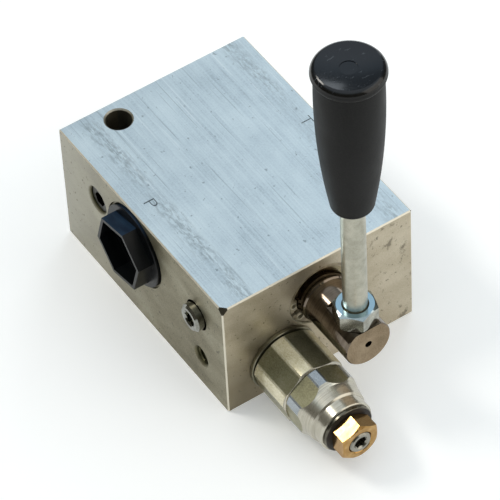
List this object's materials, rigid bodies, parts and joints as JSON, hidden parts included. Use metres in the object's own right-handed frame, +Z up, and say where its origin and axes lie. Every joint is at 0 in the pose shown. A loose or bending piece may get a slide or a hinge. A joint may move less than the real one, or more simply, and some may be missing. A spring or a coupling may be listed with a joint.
{
  "type": "rotary lever control valve for a hydraulic motor",
  "caption": "Hand-lever rotary spool valve in an aluminium block that bolts onto a hydraulic motor, with a screw-in relief cartridge and plugged hose ports.",
  "frame": {"origin": "centre of the bottom face, which bolts to the motor", "axes": "+Z up away from the motor, -Y towards the lever and relief cartridge, -X the pressure port side"},
  "size_m": [0.0858, 0.1407, 0.1542],
  "materials": {
    "block": "satin",
    "circlip": "satin",
    "gland": "satin",
    "seal": "matte",
    "shaft_seal": "satin",
    "inner_steel": "satin",
    "spool": "polished",
    "stop_screw": "zinc plated",
    "lever_rod": "zinc plated",
    "lever_nut": "zinc plated",
    "grip": "satin",
    "relief_washer": "satin",
    "relief_body": "satin",
    "relief_bonnet": "satin",
    "spring": "satin",
    "adjuster": "black oxide",
    "end_seal": "zinc plated",
    "relief_nut": "polished",
    "plug": "satin",
    "plug_seal": "matte",
    "drain_plug": "black oxide"
  },
  "bodies": {
    "block": {"valve_block": "block", "spool_circlip": "circlip", "spool_gland": "gland", "gland_outer_seal": "seal", "spool_shaft_seal": "shaft_seal", "spool_thrust_washer": "inner_steel", "spool_stop_screw": "stop_screw", "relief_washer": "relief_washer", "relief_body": "relief_body", "relief_nose_seal": "seal", "relief_seat": "inner_steel", "relief_bonnet": "relief_bonnet", "relief_bonnet_seal": "seal", "drain_port_plug": "drain_plug", "motor_port_a_seal": "seal", "motor_port_b_seal": "seal", "relief_spring": "spring"},
    "lever": {"rotary_spool": "spool", "lever_rod": "lever_rod", "lever_lock_nut": "lever_nut", "lever_grip": "grip"},
    "poppet": {"relief_poppet": "inner_steel"},
    "guide": {"relief_spring_guide": "inner_steel"},
    "adjuster": {"relief_adjuster_screw": "adjuster"},
    "end_washer": {"relief_end_seal": "end_seal"},
    "lock_nut": {"relief_lock_nut": "relief_nut"},
    "pressure_ring": {"pressure_plug_seal": "plug_seal"},
    "pressure_plug": {"pressure_port_plug": "plug"},
    "tank_ring": {"tank_plug_seal": "plug_seal"},
    "tank_plug": {"tank_port_plug": "plug"}
  },
  "joints": [
    {"name": "lever_turn", "type": "hinge", "parent": "block", "child": "lever", "pos_m": [0.001, -0.0482, 0.0335], "axis": [0, -1, 0], "range_deg": [-45, 45]},
    {"name": "poppet_lift", "type": "slide", "parent": "block", "child": "poppet", "axis": [0, -1, 0], "range_m": [0, 0.002], "stiffness_N_per_m": 3000, "springref_m": -0.004, "deforming": ["relief_spring"]},
    {"name": "guide_slide", "type": "slide", "parent": "block", "child": "guide", "axis": [0, 1, 0], "range_m": [-0.00401, 0.00401], "deforming": ["relief_spring"]},
    {"name": "adjuster_turn", "type": "hinge", "parent": "guide", "child": "adjuster", "pos_m": [-0.015, -0.0482, 0.0138], "axis": [0, 1, 0], "range_deg": [-1152, 1152]},
    {"name": "end_washer_slide", "type": "slide", "parent": "block", "child": "end_washer", "axis": [0, -1, 0], "range_m": [0, 0.00126]},
    {"name": "lock_nut_turn", "type": "hinge", "parent": "end_washer", "child": "lock_nut", "pos_m": [-0.015, -0.0889, 0.0138], "axis": [0, 1, 0], "range_deg": [-360, 0]},
    {"name": "pressure_ring_slide", "type": "slide", "parent": "block", "child": "pressure_ring", "axis": [-1, 0, 0], "range_m": [0, 0.01271]},
    {"name": "pressure_plug_turn", "type": "hinge", "parent": "pressure_ring", "child": "pressure_plug", "pos_m": [-0.0364, 0.004, 0.0335], "axis": [-1, 0, 0], "range_deg": [0, 2520]},
    {"name": "tank_ring_slide", "type": "slide", "parent": "block", "child": "tank_ring", "axis": [1, 0, 0], "range_m": [0, 0.01271]},
    {"name": "tank_plug_turn", "type": "hinge", "parent": "tank_ring", "child": "tank_plug", "pos_m": [0.0364, 0.004, 0.0335], "axis": [1, 0, 0], "range_deg": [0, 2520]}
  ],
  "couplings": [
    {"joint": "guide_slide", "follows": "adjuster_turn", "m_per_rad": 0.00019894},
    {"joint": "end_washer_slide", "follows": "lock_nut_turn", "m_per_rad": -0.00019894},
    {"joint": "pressure_ring_slide", "follows": "pressure_plug_turn", "m_per_rad": 0.00028875},
    {"joint": "tank_ring_slide", "follows": "tank_plug_turn", "m_per_rad": 0.00028875}
  ]
}
